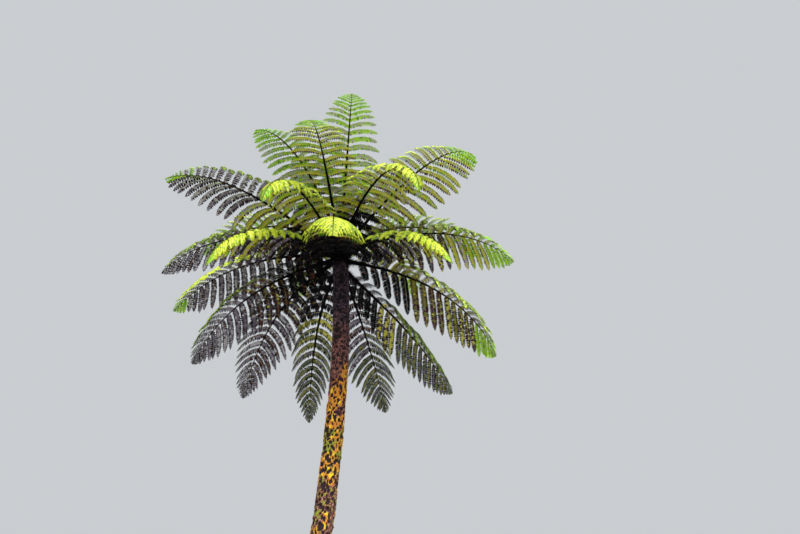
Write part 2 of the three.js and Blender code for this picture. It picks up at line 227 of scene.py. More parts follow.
# One row for each frond, as in the solid model. Its longest leaflets are reach long, leave a level rib
# rising by lift and bend down by hang. inner and outer name the tints of its underside, near the hub and
# further out, top those of its upper side, and past the share tip it is painted with the glow of light
# shining through the leaves: above 1, nowhere.
Frond = namedtuple("Frond", "azimuth rise bend length swing reach lift hang inner outer top tip")
FRONDS = [
    Frond(277, 54, 98, 3.2, 0, 0.7, 20, 76, "light", "light", "lime", 0.8),
    Frond(261, 31, 84, 3.2, 9, 0.72, 22, 76, "olive", "olive", "lime", 0.82),
    Frond(248, 37, 90, 3.1, -4, 0.7, 12, 76, "light", "light", "lime", 0.78),
    Frond(217, 14, 67, 3.65, 22, 0.94, 38, 124, "olive", "grey", "olive", 0.9),
    Frond(250, 12, 100, 3.35, 5, 0.7, 7, 86, "olive", "olive", "lime", 0.86),
    Frond(269, -10, 63, 3.25, 12, 0.78, 8, 76, "olive", "olive", "lime", 0.97),
    Frond(316, 23, 80, 3.75, -14, 0.9, 18, 76, "olive", "olive", "lime", 0.84),
    Frond(290, 22, 114, 3.55, 22, 0.76, 12, 82, "olive", "olive", "lime", 0.9),
    Frond(348, 16, 70, 3.35, 11, 0.94, 10, 82, "bronze", "olive", "olive", 0.8),
    Frond(312, -8, 67, 3.4, 0, 0.68, 8, 77, "grey", "olive", "lime", 0.88),
    Frond(227, -6, 78, 3.35, 8, 0.7, 7, 77, "grey", "olive", "lime", 0.88),
    Frond(201, 8, 73, 3.3, -16, 0.76, 20, 104, "bronze", "grey", "olive", 1.1),
    Frond(171, 9, 61, 3.45, -10, 0.88, 6, 84, "grey", "grey", "lime", 0.93),
    Frond(161, -3, 68, 3.55, -11, 0.9, 13, 84, "bronze", "grey", "olive", 1.1),
    Frond(140, -3, 62, 3.85, -25, 0.86, 12, 76, "bronze", "grey", "green", 1.1),
    Frond(114, -12, 46, 3.8, -22, 0.76, 12, 88, "fern", "moss", "green", 1.1),
    Frond(78, -13, 36, 3.6, -5, 0.84, 1, 64, "grey", "moss", "green", 1.1),
    Frond(24, -35, 24, 3.0, 1, 0.84, 12, 80, "bronze", "moss", "green", 1.1),
    Frond(2, -10, 64, 3.46, 15, 1.0, 15, 80, "amber", "amber", "olive", 0.8),
    Frond(20, 42, 96, 3.3, -6, 0.7, 20, 76, "light", "light", "lime", 0.8),
    Frond(56, 46, 100, 3.3, 6, 0.7, 20, 76, "olive", "olive", "lime", 0.85),
    Frond(118, 46, 98, 3.3, -6, 0.7, 20, 76, "olive", "olive", "lime", 0.85),
    Frond(164, 40, 96, 3.3, 6, 0.7, 20, 76, "light", "light", "lime", 0.82),
]
FRONDS_PER_PIECE = 6
SHADED_SHARE = 0.32 # leaflets nearer the hub than this are darker with painted shade, on an old frond
SHADED_YOUNG = 0.13 # the same on a young frond
OUTER_SHARE = 0.5 # where the inner tints give way to the outer ones
ALIKE_ABOVE = 0.25 # share of one leaflet's blades that have the same tints on their upper side
ALIKE_BELOW = 0.45 # the same for the underside

# Leaf finishes, in the order of a leaf piece's material slots
LEAF_COLOURS = {
    "leaf_top_lime": (214, 230, 50),
    "leaf_top_yellow": (246, 244, 96),
    "leaf_top_green": (142, 176, 40),
    "leaf_top_olive": (92, 108, 30),
    # painted shade, near the hub and along the blades' edges
    "leaf_top_painted_shade": (24, 30, 14),
    # painted glow of light shining through the leaves at a frond's tip
    "leaf_tip_glow": (140, 212, 24),
    # painted glow of light shining through the leaves
    "leaf_under_glow": (190, 236, 46),
    "leaf_under_green": (122, 168, 34),
    "leaf_under_yellow": (236, 228, 84),
    "leaf_under_olive": (138, 134, 38),
    "leaf_under_bronze": (92, 54, 40),
    "leaf_under_moss": (66, 78, 38),
    "leaf_under_pale": (138, 124, 144),
    "leaf_under_white": (214, 206, 214),
    "leaf_under_grey": (92, 78, 98),
    # these two are painted shade, near the hub and along the blades' edges
    "leaf_under_painted_shade": (36, 28, 38),
    "leaf_under_painted_deep_shade": (10, 7, 10),
}
LEAF_NAMES = list(LEAF_COLOURS)
# Tints of the upper side, along a leaflet's middle and along its edges; the edges are darker with painted
# shade, where the blades bend away from the light
RIDGE_MIXES = {
    "lime": (("leaf_top_lime", 0.7), ("leaf_top_yellow", 0.1), ("leaf_top_green", 0.2)),
    "olive": (("leaf_top_lime", 0.08), ("leaf_top_green", 0.42), ("leaf_top_olive", 0.5)),
    "green": (("leaf_top_green", 0.35), ("leaf_top_olive", 0.65)),
    "tip": (("leaf_tip_glow", 0.6), ("leaf_top_lime", 0.4)),
    # the shade tints are painted shade near the hub
    "shade": (("leaf_top_painted_shade", 1.0),),
}
EDGE_MIXES = {
    "lime": (("leaf_top_lime", 0.55), ("leaf_top_green", 0.38), ("leaf_top_olive", 0.07)),
    "olive": (("leaf_top_olive", 0.6), ("leaf_top_green", 0.1), ("leaf_top_painted_shade", 0.3)),
    "green": (("leaf_top_olive", 0.5), ("leaf_top_painted_shade", 0.5)),
    "tip": (("leaf_tip_glow", 0.55), ("leaf_top_green", 0.45)),
    "shade": (("leaf_top_painted_shade", 1.0),),
}
# Tints of the underside, in the same way. Their darker tints are partly the leaves' own colour and partly
# painted shade, as the underside faces away from the light
MIDDLE_MIXES = {
    # the light and tip tints are painted glow of light shining through the leaves
    "light": (("leaf_under_glow", 0.45), ("leaf_under_green", 0.1), ("leaf_under_white", 0.45)),
    "olive": (("leaf_under_yellow", 0.65), ("leaf_under_white", 0.2), ("leaf_under_glow", 0.15)),
    "bronze": (("leaf_under_bronze", 0.35), ("leaf_under_yellow", 0.2), ("leaf_under_olive", 0.2),
               ("leaf_under_grey", 0.25)),
    "amber": (("leaf_under_olive", 0.5), ("leaf_under_yellow", 0.15), ("leaf_under_bronze", 0.35)),
    "fern": (("leaf_under_olive", 0.55), ("leaf_under_yellow", 0.2), ("leaf_under_moss", 0.25)),
    "moss": (("leaf_under_moss", 0.55), ("leaf_under_grey", 0.2), ("leaf_under_olive", 0.25)),
    "grey": (("leaf_under_pale", 0.4), ("leaf_under_white", 0.25), ("leaf_under_grey", 0.2),
             ("leaf_under_bronze", 0.15)),
    "tip": (("leaf_under_glow", 0.65), ("leaf_tip_glow", 0.35)),
    # painted shade near the hub
    "shade": (("leaf_under_painted_deep_shade", 0.65), ("leaf_under_bronze", 0.1), ("leaf_under_painted_shade", 0.25)),
}
# the margins are darker with painted shade, between the leaflets and where the blades bend down
MARGIN_MIXES = {
    "light": (("leaf_under_glow", 0.3), ("leaf_under_green", 0.5), ("leaf_under_olive", 0.2)),
    "olive": (("leaf_under_olive", 0.35), ("leaf_under_bronze", 0.3), ("leaf_under_painted_shade", 0.2),
              ("leaf_under_green", 0.15)),
    "bronze": (("leaf_under_bronze", 0.3), ("leaf_under_painted_shade", 0.3), ("leaf_under_painted_deep_shade", 0.4)),
    "amber": (("leaf_under_painted_shade", 0.4), ("leaf_under_painted_deep_shade", 0.3), ("leaf_under_bronze", 0.3)),
    "fern": (("leaf_under_moss", 0.4), ("leaf_under_painted_shade", 0.4), ("leaf_under_olive", 0.2)),
    "moss": (("leaf_under_moss", 0.4), ("leaf_under_painted_deep_shade", 0.6)),
    "grey": (("leaf_under_painted_shade", 0.4), ("leaf_under_painted_deep_shade", 0.6)),
    "tip": (("leaf_under_glow", 0.6), ("leaf_under_green", 0.4)),
    "shade": (("leaf_under_painted_deep_shade", 1.0),),
}

# Finishes of the leaflets' ribs, and the one that goes with each tint of the underside
RIB_COLOURS = {
    # painted shade, for the ribs of leaflets near the hub
    "rib_painted_shade": (30, 24, 24),
    "rib_grey": (124, 122, 100),
    "rib_olive": (150, 150, 66),
    "rib_green": (120, 156, 56),
}
RIB_NAMES = list(RIB_COLOURS)
RIB_ROUGHNESS = 0.6
LEAFLET_RIB_FINISH = {
    "light": "rib_green",
    "olive": "rib_olive",
    "bronze": "rib_olive",
    "amber": "rib_olive",
    "fern": "rib_olive",
    "moss": "rib_grey",
    "grey": "rib_grey",
}

# Finishes of a stalk from its foot to its tip, as (name, colour, roughness)
STALK_FINISHES = (
    ("stalk_black", (12, 9, 11), 0.8),
    ("stalk_brown", (52, 42, 36), 0.6),
    ("stalk_green", (92, 100, 52), 0.55),
)
STALK_CHANGES = (0.62, 0.85) # where they change, as shares of the straight way from foot to tip

# Roughness, highlights, and fine bumps made of noise
TOP_ROUGHNESS = 0.5
UNDER_ROUGHNESS = 0.6
TOP_SHINE = 0.3
UNDER_SHINE = 0.12
STALK_SHINE = 0.1
Bumps = namedtuple("Bumps", "scale detail strength distance")
LEAF_BUMPS = Bumps(170, 3, 0.35, 0.004)
STALK_BUMPS = Bumps(90, 4, 0.5, 0.006)

# Scales on the heart, the stalk bases and the trunk between them
SCALE_SEED = 31
SCALE_COLOUR = (8, 6, 7)
SCALE_ROUGHNESS = 0.85
SCALE_LENGTH = 0.1
SCALE_WIDTH = 0.007
SCALE_RINGS = ((0.0, 1.0, 0.0), (0.5, 0.8, 0.05)) # place along a scale, width and curl, all as shares
SCALE_RIDGE = 0.5 # height of a scale along its middle, as a share of half its width
SCALE_CURL = 0.2 # how far its tip stands up, as a share of its length
# A coat of scales: how many, how far they lean outwards, how much their directions vary, the least and
# greatest share of SCALE_LENGTH, and how deep they are sunk
Coat = namedtuple("Coat", "count lean spread shortest longest sunk")
HEART_COAT = Coat(900, 0.45, 0.12, 0.6, 1.1, 0)
COLLAR_COAT = Coat(1500, 0.8, 0.2, 0.7, 1.4, 0.004)
STALK_COAT = Coat(150, 0.6, 0.15, 0.5, 1.1, 0.002)
COLLAR_FOOT = 8.8
COLLAR_CLIMB = 0.7 # how far the collar's scales point up
SCALY_SHARE = 0.15 # to the power SCALY_POWER, the share of a stalk that bears scales, most near its foot
SCALY_POWER = 1.3
DOME_RINGS = 10
DOME_SIDES = 36

# Sockets of the Mix node that hold colours
MIX_INPUTS = (6, 7)
MIX_OUTPUT = 2


def unit(vectors):
    return vectors / np.linalg.norm(vectors, axis=-1, keepdims=True)


def lerp(a, b, t):
    return a + (b - a) * t


def smooth(low, high, x):
    t = np.clip((x - low) / (high - low), 0, 1)
    return t * t * (3 - 2 * t)


def towards(rise, turn):
    """Directions that rise and turn by angles in radians"""
    return np.stack([np.cos(rise) * np.cos(turn), np.cos(rise) * np.sin(turn), np.sin(rise)], -1)


def varied(rng, spread, count=None):
    """Random factors near 1"""
    return 1 + rng.normal(0, spread, count)


def linear(colour):
    """A colour of three numbers up to 255, as a picture holds it, in linear light with alpha"""
    parts = [c / 255 for c in colour]
    return [p / 12.92 if p <= 0.04045 else ((p + 0.055) / 1.055) ** 2.4 for p in parts] + [1.0]


# Triangles


def flipped(triangles):
    return triangles[:, [0, 2, 1]]


def ring_grid(rings, sides):
    """Numbers of the points of a body of rings, with one row for each ring"""
    return np.arange(rings * sides).reshape(rings, sides)


def walls(grid):
    """Triangles between neighbouring rings"""
    a = grid[:-1]
    b = np.roll(a, -1, 1)
    d = grid[1:]
    c = np.roll(d, -1, 1)
    return np.concatenate([np.stack([a, b, c], -1).reshape(-1, 3), np.stack([a, c, d], -1).reshape(-1, 3)])


def fan(middle, ring):
    """Triangles from a middle point to each side of a ring"""
    return np.stack([np.full(len(ring), middle), ring, np.roll(ring, -1)], -1)


def lid(ring):
    """Triangles that close a ring without a middle point"""
    return np.stack([np.full(len(ring) - 2, ring[0]), ring[1:-1], ring[2:]], -1)


def closed_body(grid):
    """Triangles of a body of rings, closed by the two points after its own: at its foot and at its top"""
    return np.concatenate([walls(grid), flipped(fan(grid.size, grid[0])), fan(grid.size + 1, grid[-1])])


def repeated(triangles, points):
    """The triangles of one small body, for each of the bodies that points holds"""
    return triangles[None] + points.shape[1] * np.arange(len(points))[:, None, None]


class Pile:
    """Points, triangles and finishes of one piece, gathered block by block"""

    def __init__(self):
        self.points = []
        self.triangles = []
        self.finishes = []
        self.count = 0

    def add(self, points, triangles, finishes):
        points = np.asarray(points).reshape(-1, 3)
        triangles = np.asarray(triangles).reshape(-1, 3)
        self.points.append(points)
        self.triangles.append(triangles + self.count)
        self.finishes.append(np.broadcast_to(finishes, len(triangles)))
        self.count += len(points)

    def piece(self, name, materials, smoothed):
        points = np.concatenate(self.points).astype(np.float32)
        triangles = np.concatenate(self.triangles).astype(np.int32)
        finishes = np.concatenate(self.finishes).astype(np.int32)
        mesh = bpy.data.meshes.new(name)
        mesh.vertices.add(len(points))
        mesh.vertices.foreach_set("co", points.ravel())
        mesh.loops.add(triangles.size)
        mesh.loops.foreach_set("vertex_index", triangles.ravel())
        mesh.polygons.add(len(triangles))
        mesh.polygons.foreach_set("loop_start", np.arange(0, triangles.size, 3, dtype=np.int32))
        for material in materials:
            mesh.materials.append(material)
        mesh.polygons.foreach_set("material_index", finishes)
        mesh.polygons.foreach_set("use_smooth", np.full(len(triangles), smoothed))
        mesh.update(calc_edges=True)
        made = bpy.data.objects.new(name, mesh)
        bpy.context.scene.collection.objects.link(made)
        return made


# Camera, floor and light


def add_camera():
    lens = bpy.data.cameras.new("camera")
    lens.lens = CAMERA_LENS
    lens.sensor_width = SENSOR_WIDTH
    camera = bpy.data.objects.new("camera", lens)
    camera.location = CAMERA_PLACE
    camera.rotation_euler = (math.radians(90 + CAMERA_PITCH), 0, 0)
    bpy.context.scene.collection.objects.link(camera)
    bpy.context.scene.camera = camera


def add_studio():
    floor_mesh = bpy.data.meshes.new("floor")
    corners = [(-1, -1), (1, -1), (1, 1), (-1, 1)]
    floor_mesh.from_pydata([(x * FLOOR_HALF, y * FLOOR_HALF, 0) for x, y in corners], [], [(0, 1, 2, 3)])
    floor = bpy.data.objects.new("floor", floor_mesh)
    paint, _ = plain_material("floor_paint", FLOOR_COLOUR, FLOOR_ROUGHNESS)
    floor_mesh.materials.append(paint)
    bpy.context.scene.collection.objects.link(floor)
    world = bpy.data.worlds.new("studio")
    world.use_nodes = True
    backdrop = world.node_tree.nodes["Background"]
    backdrop.inputs["Color"].default_value = linear(SKY_COLOUR)
    backdrop.inputs["Strength"].default_value = SKY_STRENGTH
    bpy.context.scene.world = world
    sun = bpy.data.lights.new("key", "SUN")
    sun.energy = KEY_STRENGTH
    sun.angle = math.radians(KEY_ANGLE)
    key = bpy.data.objects.new("key", sun)
    key.rotation_euler = [math.radians(a) for a in KEY_TURN]
    bpy.context.scene.collection.objects.link(key)
    bpy.context.scene.view_settings.view_transform = "Standard"


# Materials


def plain_material(name, colour, roughness):
    material = bpy.data.materials.new(name)
    material.use_nodes = True
    shader = material.node_tree.nodes["Principled BSDF"]
    shader.inputs["Base Color"].default_value = linear(colour)
    shader.inputs["Roughness"].default_value = roughness
    return material, shader


def object_place(tree):
    return tree.nodes.new("ShaderNodeTexCoord").outputs["Object"]


def noise(tree, place, scale, detail):
    node = tree.nodes.new("ShaderNodeTexNoise")
    node.inputs["Scale"].default_value = scale
    node.inputs["Detail"].default_value = detail
    tree.links.new(place, node.inputs["Vector"])
    return node.outputs["Fac"]


def stretched(tree, value, low, high, kind="LINEAR", clamped=True):
    """value stretched so that low gives 0 and high gives 1"""
    node = tree.nodes.new("ShaderNodeMapRange")
    node.interpolation_type = kind
    node.clamp = clamped
    node.inputs["From Min"].default_value = low
    node.inputs["From Max"].default_value = high
    tree.links.new(value, node.inputs["Value"])
    return node.outputs["Result"]


def soft_step(tree, value, edge):
    """0 before the edge's two values, 1 past them and smooth in between"""
    return stretched(tree, value, *edge, kind="SMOOTHSTEP")


def times(tree, a, b):
    node = tree.nodes.new("ShaderNodeMath")
    node.operation = "MULTIPLY"
    tree.links.new(a, node.inputs[0])
    tree.links.new(b, node.inputs[1])
    return node.outputs["Value"]


def plus(tree, a, b, share):
    """a + share * b"""
    node = tree.nodes.new("ShaderNodeMath")
    node.operation = "MULTIPLY_ADD"
    tree.links.new(b, node.inputs[0])
    node.inputs[1].default_value = share
    tree.links.new(a, node.inputs[2])
    return node.outputs["Value"]


def mixed(tree, share, low, high):
    """low where share is 0 and high where it is 1; each names a bark colour or is a node's output"""
    node = tree.nodes.new("ShaderNodeMix")
    node.data_type = "RGBA"
    tree.links.new(share, node.inputs["Factor"])
    for end, number in zip((low, high), MIX_INPUTS):
        if isinstance(end, str):
            node.inputs[number].default_value = linear(BARK_COLOURS[end])
        else:
            tree.links.new(end, node.inputs[number])
    return node.outputs[MIX_OUTPUT]


def bump(tree, shader, height, strength, distance):
    node = tree.nodes.new("ShaderNodeBump")
    node.inputs["Strength"].default_value = strength
    node.inputs["Distance"].default_value = distance
    tree.links.new(height, node.inputs["Height"])
    tree.links.new(node.outputs["Normal"], shader.inputs["Normal"])


def bumpy_material(name, colour, roughness, shine, bumps):
    material, shader = plain_material(name, colour, roughness)
    shader.inputs["Specular IOR Level"].default_value = shine
    tree = material.node_tree
    height = noise(tree, object_place(tree), bumps.scale, bumps.detail)
    bump(tree, shader, height, bumps.strength, bumps.distance)
    return material


def leaf_material(name):
    """A leaf's colour is even and dealt out by spray; its fine puckering is a bump."""
    if name.startswith("leaf_under"):
        return bumpy_material(name, LEAF_COLOURS[name], UNDER_ROUGHNESS, UNDER_SHINE, LEAF_BUMPS)
    return bumpy_material(name, LEAF_COLOURS[name], TOP_ROUGHNESS, TOP_SHINE, LEAF_BUMPS)


def stalk_material(name, colour, roughness):
    return bumpy_material(name, colour, roughness, STALK_SHINE, STALK_BUMPS)


def over_height(tree, height, amounts):
    """A value that follows a list of (height, amount) up the trunk"""
    node = tree.nodes.new("ShaderNodeValToRGB")
    stops = node.color_ramp.elements
    while len(stops) < len(amounts):
        stops.new(0.5)
    for stop, (z, amount) in zip(stops, amounts):
        stop.position = z / TRUNK_TOP
        stop.color = (amount, amount, amount, 1)
    tree.links.new(stretched(tree, height, 0, TRUNK_TOP), node.inputs["Fac"])
    return node.outputs["Color"]


def bark_material():
    """Old and young bark with darker pits and pale flecks, moss over it, and lichen over both"""
    material, shader = plain_material("bark", BARK_COLOURS["base"], BARK_ROUGHNESS)
    tree = material.node_tree
    place = object_place(tree)
    parts = tree.nodes.new("ShaderNodeSeparateXYZ")
    tree.links.new(place, parts.inputs["Vector"])
    height = parts.outputs["Z"]
    scar = tree.nodes.new("ShaderNodeAttribute")
    scar.attribute_name = "ridge"
    ridge = scar.outputs["Fac"]
    coarse = noise(tree, place, *COARSE_NOISE)
    medium = noise(tree, place, *MEDIUM_NOISE)
    fine = noise(tree, place, *FINE_NOISE)

    patches = soft_step(tree, medium, PATCH_EDGE)
    old = mixed(tree, patches, "old_dark", "old_light")
    young = mixed(tree, patches, "young_dark", "young_light")
    youth = soft_step(tree, plus(tree, height, coarse, YOUNG_SWAY), YOUNG_EDGE)
    pits = mixed(tree, youth, "old_pit", "young_pit")
    pitted = mixed(tree, ridge, pits, mixed(tree, youth, old, young))
    specks = times(tree, ridge, soft_step(tree, fine, FLECK_EDGE))
    flecked = mixed(tree, specks, pitted, mixed(tree, youth, "old_fleck", "young_fleck"))

    damp = soft_step(tree, plus(tree, medium, over_height(tree, height, MOSS), GROWTH_GAIN), MOSS_EDGE)
    moss = mixed(tree, soft_step(tree, fine, MOSS_TINT_EDGE), "moss_dark", "moss_light")
    mossed = mixed(tree, times(tree, ridge, damp), flecked, moss)

    across = stretched(tree, parts.outputs["X"], LICHEN_MIDDLE, LICHEN_MIDDLE + 1, clamped=False)
    slanted = plus(tree, height, across, LICHEN_SLANT)
    grown = plus(tree, coarse, over_height(tree, slanted, LICHEN), GROWTH_GAIN)
    raised = soft_step(tree, plus(tree, ridge, medium, LICHEN_RAISED_GAIN), LICHEN_RAISED_EDGE)
    crusted = times(tree, soft_step(tree, grown, LICHEN_EDGE), raised)
    ochre = mixed(tree, soft_step(tree, fine, LICHEN_TINT_EDGE), "lichen_dark", "lichen_light")
    golden = mixed(tree, soft_step(tree, noise(tree, place, *GOLD_NOISE), GOLD_EDGE), ochre, "lichen_gold")
    tree.links.new(mixed(tree, crusted, mossed, golden), shader.inputs["Base Color"])
    bump(tree, shader, fine, *BARK_BUMP)
    return material


# Trunk


def trunk_centre(z):
    share = z / HUB_HEIGHT
    bow = TRUNK_BOW * np.sin(np.pi * np.minimum(1, share) ** BOW_SKEW)
    return np.stack([TRUNK_LEAN * share + bow, np.zeros_like(z), z], -1)


def trunk_radius(z):
    share = np.maximum(0, 1 - z / HUB_HEIGHT)
    flare = FLARE * np.exp(-z / FLARE_HEIGHT)
    swell = SWELL * np.exp(-(((z - HUB_HEIGHT) / SWELL_HEIGHT) ** 2))
    return lerp(TOP_RADIUS, FOOT_RADIUS, share**TAPER_POWER) + flare + swell


def row_height(row):
    """The height of a row of scars, which stand closer together further up"""
    return ROW_RISE_FOOT / ROW_RISE_LOSS * (1 - np.exp(-ROW_RISE_LOSS * row))


def row_at(z):
    return -np.log(1 - ROW_RISE_LOSS * z / ROW_RISE_FOOT) / ROW_RISE_LOSS


def ripples(turn, z, waves):
    """Soft irregular relief that closes round the trunk"""
    rng = np.random.default_rng(waves.seed)
    total = np.zeros(turn.shape)
    for _ in range(waves.count):
        around = rng.integers(*waves.turns)
        up = rng.uniform(*waves.rises) * rng.choice([-1, 1])
        total += np.sin(around * turn + up * z + rng.uniform(0, 2 * np.pi))
    return total / math.sqrt(waves.count)


def scar_distance(turn, z):
    """How far a place on the bark is from the nearest scar's middle: 1 on its edge"""
    rows = int(row_at(TRUNK_TOP)) + SPARE_ROWS
    jitter = np.random.default_rng(SCAR_SEED).normal(0, 1, (rows, SCAR_COLUMNS, 3))
    row = row_at(z + SCAR_WARP * ROW_RISE_FOOT * ripples(turn, z, SWAY_UP))
    turn = turn + SCAR_WARP * 2 * np.pi / SCAR_COLUMNS * ripples(turn, z, SWAY_ROUND)
    nearest = np.full(turn.shape, np.inf)
    for step in NEAR_ROWS:
        r = np.clip(np.floor(row).astype(int) + step, 0, rows - 1)
        shift = (r % 2) * 0.5 + r * ROW_TWIST
        column = turn / (2 * np.pi) * SCAR_COLUMNS - shift
        c = np.round(column).astype(int)
        sideways, upwards, size = np.moveaxis(jitter[r, c % SCAR_COLUMNS], -1, 0)
        dx = (column - c - SCAR_SHIFT * sideways) / SCAR_WIDTH
        rise = ROW_RISE_FOOT - ROW_RISE_LOSS * z
        dz = ((row_height(row) - row_height(r)) / rise - SCAR_LIFT * upwards) / SCAR_TALL
        distance = (np.abs(dx) ** SCAR_POWER + np.abs(dz) ** SCAR_POWER) ** (1 / SCAR_POWER)
        nearest = np.minimum(nearest, distance / (1 + SCAR_VARIATION * size))
    return nearest


def build_trunk():
    heights = TRUNK_TOP * np.linspace(0, 1, BARK_STEPS + 1)
    turns = 2 * np.pi * np.arange(BARK_SIDES) / BARK_SIDES
    z, turn = np.meshgrid(heights, turns, indexing="ij")
    distance = scar_distance(turn, z)
    mantle = smooth(*MANTLE_EDGE, z)
    pit = smooth(*PIT_EDGE, distance) * (1 - mantle)
    rim = np.exp(-(((distance - RIM_DISTANCE) / RIM_WIDTH) ** 2)) * (1 - mantle)
    fibres = ripples(turn, z, FIBRES)
    lumps = ripples(turn, z, LUMPS)
    relief = RIM_HEIGHT * rim - SCAR_DEPTH * pit + FIBRE_RELIEF * fibres + LUMP_RELIEF * lumps
    relief += MANTLE_RELIEF * mantle * (MANTLE_FIBRES * fibres + MANTLE_LUMPS * lumps)
    radius = trunk_radius(z) + relief
    skin = trunk_centre(z) + radius[..., None] * towards(np.zeros_like(turn), turn)
    ends = trunk_centre(np.array([0, TRUNK_TOP]))
    pile = Pile()
    pile.add(np.concatenate([skin.reshape(-1, 3), ends]), closed_body(ring_grid(*z.shape)), 0)
    trunk = pile.piece("trunk_bark", [bark_material()], True)
    ridge = trunk.data.attributes.new("ridge", "FLOAT", "POINT")
    raised = np.append(smooth(*RIDGE_EDGE, distance) * (1 - mantle) + mantle, [0, 0])
    ridge.data.foreach_set("value", raised.astype(np.float32))
    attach(trunk, "root")
    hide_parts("trunk")


# Fronds


def rib_points(frond):
    """Points along a frond's rib in equal steps, from inside the trunk to the tip"""
    start = trunk_centre(HUB_HEIGHT + STALK_SPREAD * (frond.rise - LEVEL_RISE))
    share = (np.arange(CURVE_STEPS) + 0.5) / CURVE_STEPS
    slope = np.radians(frond.rise - frond.bend * share**BEND_POWER)
    heading = np.radians(frond.azimuth + frond.swing * share)
    step = (frond.length + trunk_radius(start[2])) / CURVE_STEPS
    return np.concatenate([start[None], start + np.cumsum(towards(slope, heading) * step, 0)])


def along_line(line, shares):
    """Places and directions at shares of the length of a line of equal steps"""
    at = np.asarray(shares) * (len(line) - 1)
    index = np.arange(len(line))
    ways = unit(np.gradient(line, axis=0))
    places = np.stack([np.interp(at, index, line[:, i]) for i in range(3)], -1)
    directions = np.stack([np.interp(at, index, ways[:, i]) for i in range(3)], -1)
    return places, unit(directions)


def tube(line, radii, sides, ups=UP):
    """Points and triangles of a tube along a line, closed flat at both ends"""
    ways = unit(np.gradient(line, axis=0))
    right = unit(np.cross(ways, ups))
    over = np.cross(right, ways)
    turn = 2 * np.pi * np.arange(sides) / sides
    ring = np.cos(turn)[None, :, None] * right[:, None] + np.sin(turn)[None, :, None] * over[:, None]
    points = line[:, None] + ring * np.asarray(radii)[:, None, None]
    grid = ring_grid(len(line), sides)
    return points.reshape(-1, 3), np.concatenate([walls(grid), flipped(lid(grid[0])), lid(grid[-1])])


def stalk_radius(share):
    """The radius at a share of a stalk's length; the stalk flares where it leaves the trunk"""
    flare = STALK_FLARE * np.exp(-((share / STALK_FLARE_SHARE) ** 2))
    return lerp(STALK_TIP_RADIUS, STALK_RADIUS, (1 - share) ** STALK_TAPER) + flare


def frond_youth(frond):
    """0 for an old frond and 1 for a young one"""
    return min(max(frond.rise / YOUNG_RISE, 0), 1) ** YOUTH_POWER


def pair_shares():
    """Where the pairs of leaflets grow, closer together towards the tip"""
    grown = 1 - (1 - np.arange(PAIRS) / (PAIRS - 1)) ** PAIR_CROWDING
    return lerp(BARE_SHARE, LAST_SHARE, grown)


def leaflet_reach(share):
    """The length of a leaflet at a share of the rib, as a share of the frond's longest"""
    grown = np.clip((share - BARE_SHARE) / GROWING_SHARE, 0, 1)
    return (1 - share**SHORTENING_POWER) * lerp(FIRST_REACH, 1, grown)


def blades(place, way, over, reach, wide, droop):
    """Thin closed blades that bend down: the triangles of a blade's upper side come first"""
    across = np.cross(over, way)
    bend = np.radians(droop)[:, None]
    reach = reach[:, None]

    def spot(s):
        out = np.sin(bend * s) / bend
        down = (1 - np.cos(bend * s)) / bend
        return place + reach * (out * way - down * over)

    edge = [spot(s) - across * wide * w for s, w in zip(BLADE_STATIONS, BLADE_WIDTHS)]
    edge.append(spot(1.0))
    edge += [spot(s) + across * wide * w for s, w in zip(BLADE_STATIONS[::-1], BLADE_WIDTHS[::-1])]
    middle = spot(0.5)
    lift = (np.cos(bend * 0.5) * over + np.sin(bend * 0.5) * way) * BLADE_THICKNESS / 2
    points = np.stack(edge + [middle + lift, middle - lift], 1)
    rim = np.arange(len(edge))
    one = np.concatenate([fan(len(edge), rim), flipped(fan(len(edge) + 1, rim))])
    return points, repeated(one, points)


def draw(mix, rng, count):
    """Finishes drawn from a mix of (name, share), as their places among the leaf finishes"""
    places = [LEAF_NAMES.index(name) for name, _ in mix]
    return rng.choice(places, count, p=[share for _, share in mix])


def spray_finishes(frond, share, count, rng):
    """The finishes of one leaflet's blades, triangle by triangle; some blades share one set of tints"""
    top = frond.top
    under = frond.inner if share < OUTER_SHARE + rng.normal(0, OUTER_SPREAD) else frond.outer
    # painted shade near the hub, reaching less far on a young frond
    shaded = lerp(SHADED_SHARE, SHADED_YOUNG, math.sqrt(frond_youth(frond)))
    if share < shaded + rng.normal(0, SHADED_SPREAD):
        top = under = "shade"
    # painted glow of light shining through the leaves near the tip
    if share > frond.tip + rng.normal(0, TIP_SPREAD):
        top = under = "tip"
    ridge = draw(RIDGE_MIXES[top], rng, count)
    edge = draw(EDGE_MIXES[top], rng, count)
    middle = draw(MIDDLE_MIXES[under], rng, count)
    margin = draw(MARGIN_MIXES[under], rng, count)
    chance = rng.random(count)
    for tints in (ridge, edge):
        tints[chance < ALIKE_ABOVE] = tints[0]
    for tints in (middle, margin):
        tints[chance < ALIKE_BELOW] = tints[0]
    # the edges take the darker tints: painted shade
    above = [ridge, edge, edge, edge, edge, ridge, ridge]
    below = [middle, margin, margin, margin, margin, middle, middle]
    return np.stack(above + below, -1)


